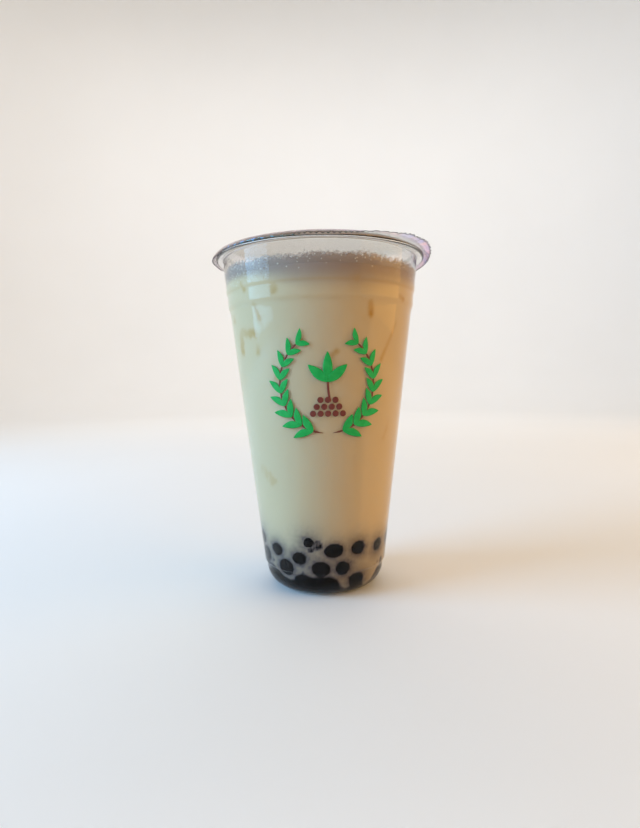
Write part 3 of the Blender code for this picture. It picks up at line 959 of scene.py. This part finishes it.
class BUBBLETEA_OT_froth(bpy.types.Operator):
    """Make the bubbles at the drink's edge and the milky smear above it"""
    bl_idname = "bubbletea.froth"
    bl_label = "Froth and Bubbles"

    def execute(self, context):
        settings = context.scene.bubble_tea_drink
        level = settings.level / MM
        draw = np.random.default_rng(23)
        # Many bubbles gather at the front left, and the rest lie loosely round the edge.
        grouped, loose = 90, 170
        turn = np.concatenate([draw.uniform(-64.0, -28.0, grouped), draw.uniform(-180.0, 180.0, loose)])
        height = level + np.concatenate([draw.uniform(-4.5, 3.6, grouped), draw.normal(1.6, 1.6, loose)])
        size = draw.uniform(0.12, 0.34, grouped + loose)
        centre = placed(np.radians(turn), wall_radius(height, 0.6) - size * 0.5, height)
        points = centre[:, None, None] + ball_ways(7, 10)[None] * size[:, None, None, None]
        points, faces = many_grids(drawn_in(points, BUBBLE_LIMIT))
        make_piece("froth_bubbles", points, faces, froth_finish(tuple(settings.froth)))

        turn = np.linspace(0.0, 2.0 * np.pi, 360, endpoint=False)
        share = np.linspace(0.0, 1.0, 12)[:, None]
        top = level + 6.2 + 0.5 * np.sin(5.0 * turn) + 0.4 * np.sin(13.0 * turn + 2.0)
        heights = level - 0.2 + share * (top - level + 0.2)
        outer, inner = (placed(turn, wall_radius(heights, inset), heights) for inset in (0.69, 0.78))
        band = np.concatenate([outer, inner[::-1], outer[:1]])
        fade = np.concatenate([1.0 - share, (1.0 - share)[::-1], (1.0 - share)[:1]]) + 0.0 * turn
        make_piece(
            "milk_residue", band.reshape(-1, 3), grid_faces(*band.shape[:2]),
            residue_finish(tuple(settings.thin)), {"fade": fade},
        )
        return {"FINISHED"}


class BUBBLETEA_OT_print(bpy.types.Operator):
    """Make the printed sprig on the front"""
    bl_idname = "bubbletea.print"
    bl_label = "Printed Sprig"

    def execute(self, context):
        settings = context.scene.bubble_tea_print
        green, brown = emblem_drawing(settings.emblem_size / MM)
        printed("print_brown", brown, settings, ink_finish("brown_ink", tuple(settings.brown)), BROWN_LIFT)
        printed("print_green", green, settings, ink_finish("green_ink", tuple(settings.green)), GREEN_LIFT)
        return {"FINISHED"}


class BUBBLETEA_OT_stage(bpy.types.Operator):
    """Make the floor, the lamps and the camera"""
    bl_idname = "bubbletea.stage"
    bl_label = "Stage"

    def execute(self, context):
        settings = context.scene.bubble_tea_stage
        scene = context.scene
        scene.view_settings.view_transform = "Standard"
        # A flat floor that curves up into a wall all round.
        flat, bend, wall_top = 1600.0, 700.0, 2200.0
        angle = np.radians(np.arange(0.0, 91.0, 7.5))
        sweep = np.column_stack([flat + bend * np.sin(angle), bend - bend * np.cos(angle)])
        line = np.vstack([[(0.0, 0.0), (400.0, 0.0)], sweep, [(flat + bend, wall_top)]])
        points = turned(line, 96)
        material, nodes, links, principled = shader("pale_floor", tuple(settings.floor), 0.7)
        grain = add_noise(nodes, links, 3.0, 2.0)
        share = add_range(nodes, links, grain, 0.3, 0.7)
        paler = tuple(min(1.0, c * 1.02) for c in settings.floor)
        tone = add_mix(nodes, links, share, tuple(settings.floor), paler)
        links.new(tone, principled.inputs["Base Color"])
        mesh = bpy.data.meshes.new("floor")
        mesh.from_pydata((points.reshape(-1, 3) * MM).tolist(), [], grid_faces(*points.shape[:2]).tolist())
        clean_mesh(mesh, material, outwards=False)
        floor = bpy.data.objects.new("floor", mesh)
        scene.collection.objects.link(floor)

        world = bpy.data.worlds.new("studio")
        world.use_nodes = True
        background = world.node_tree.nodes["Background"]
        background.inputs["Color"].default_value = (1.0, 0.90, 0.74, 1.0)
        background.inputs["Strength"].default_value = 0.41
        scene.world = world
        cup_middle = (0.0, 0.0, 0.075)
        lamps = [
            ("cool_left", (-0.92, -0.24, 0.42), cup_middle, (0.6, 0.8), settings.left, (0.335, 0.65, 1.0)),
            ("warm_right", (0.95, -0.25, 0.44), cup_middle, (1.2, 0.8), settings.right, (1.0, 0.555, 0.12)),
            ("front_top", (0.05, -0.9, 0.95), cup_middle, (1.0, 0.6), settings.front, (1.0, 0.84, 0.62)),
            ("backdrop", (0.0, 0.9, 1.5), (0.0, 1.9, 0.3), (1.6, 0.6), settings.back, (1.0, 0.985, 0.97)),
        ]
        for name, place, target, (width, height), power, colour in lamps:
            light = bpy.data.lights.new(name, "AREA")
            light.shape = "RECTANGLE"
            light.size = width
            light.size_y = height
            light.energy = power
            light.color = colour
            lamp = bpy.data.objects.new(name, light)
            lamp.location = place
            way = np.array(target) - np.array(place)
            lamp.rotation_euler = (
                math.acos(-way[2] / np.linalg.norm(way)), 0.0, math.atan2(way[1], way[0]) - math.pi / 2.0,
            )
            lamp.visible_transmission = False
            scene.collection.objects.link(lamp)

        camera = bpy.data.cameras.new("photo_camera")
        camera.sensor_width = 36.0
        camera.lens = CAMERA_PIXELS / PHOTO_HEIGHT * camera.sensor_width
        camera.shift_x = -2.1 / PHOTO_HEIGHT
        camera.clip_start = 0.01
        eye = bpy.data.objects.new("photo_camera", camera)
        eye.location = (0.0, -0.2461, 0.0917)
        eye.rotation_euler = (math.radians(87.0), math.radians(0.97), 0.0)
        scene.collection.objects.link(eye)
        scene.camera = eye
        return {"FINISHED"}


STEPS = (
    BUBBLETEA_OT_cup, BUBBLETEA_OT_film, BUBBLETEA_OT_drink, BUBBLETEA_OT_pearls, BUBBLETEA_OT_ice,
    BUBBLETEA_OT_froth, BUBBLETEA_OT_print, BUBBLETEA_OT_stage,
)


class BUBBLETEA_PT_panel(bpy.types.Panel):
    """Settings and steps of the bubble tea"""
    bl_idname = "BUBBLETEA_PT_panel"
    bl_label = "Bubble Tea"
    bl_space_type = "VIEW_3D"
    bl_region_type = "UI"
    bl_category = "Bubble Tea"

    def draw(self, context):
        for group in (context.scene.bubble_tea_cup, context.scene.bubble_tea_drink,
                      context.scene.bubble_tea_print, context.scene.bubble_tea_stage):
            box = self.layout.box()
            for key in group.__annotations__:
                box.prop(group, key)
        for step in STEPS:
            self.layout.operator(step.bl_idname)


GROUPS = {
    "bubble_tea_cup": BubbleTeaCup, "bubble_tea_drink": BubbleTeaDrink,
    "bubble_tea_print": BubbleTeaPrint, "bubble_tea_stage": BubbleTeaStage,
}


def register():
    for key, group in GROUPS.items():
        bpy.utils.register_class(group)
        setattr(bpy.types.Scene, key, bpy.props.PointerProperty(type=group))
    for step in STEPS + (BUBBLETEA_PT_panel,):
        bpy.utils.register_class(step)


def unregister():
    for step in reversed(STEPS + (BUBBLETEA_PT_panel,)):
        bpy.utils.unregister_class(step)
    for key, group in reversed(list(GROUPS.items())):
        delattr(bpy.types.Scene, key)
        bpy.utils.unregister_class(group)


def main():
    """Register and make every piece in order."""
    register()
    for step in STEPS:
        area, call = step.bl_idname.split(".")
        if "FINISHED" not in getattr(getattr(bpy.ops, area), call)():
            raise RuntimeError("not finished: " + step.bl_label)


if __name__ == "__main__":
    main()
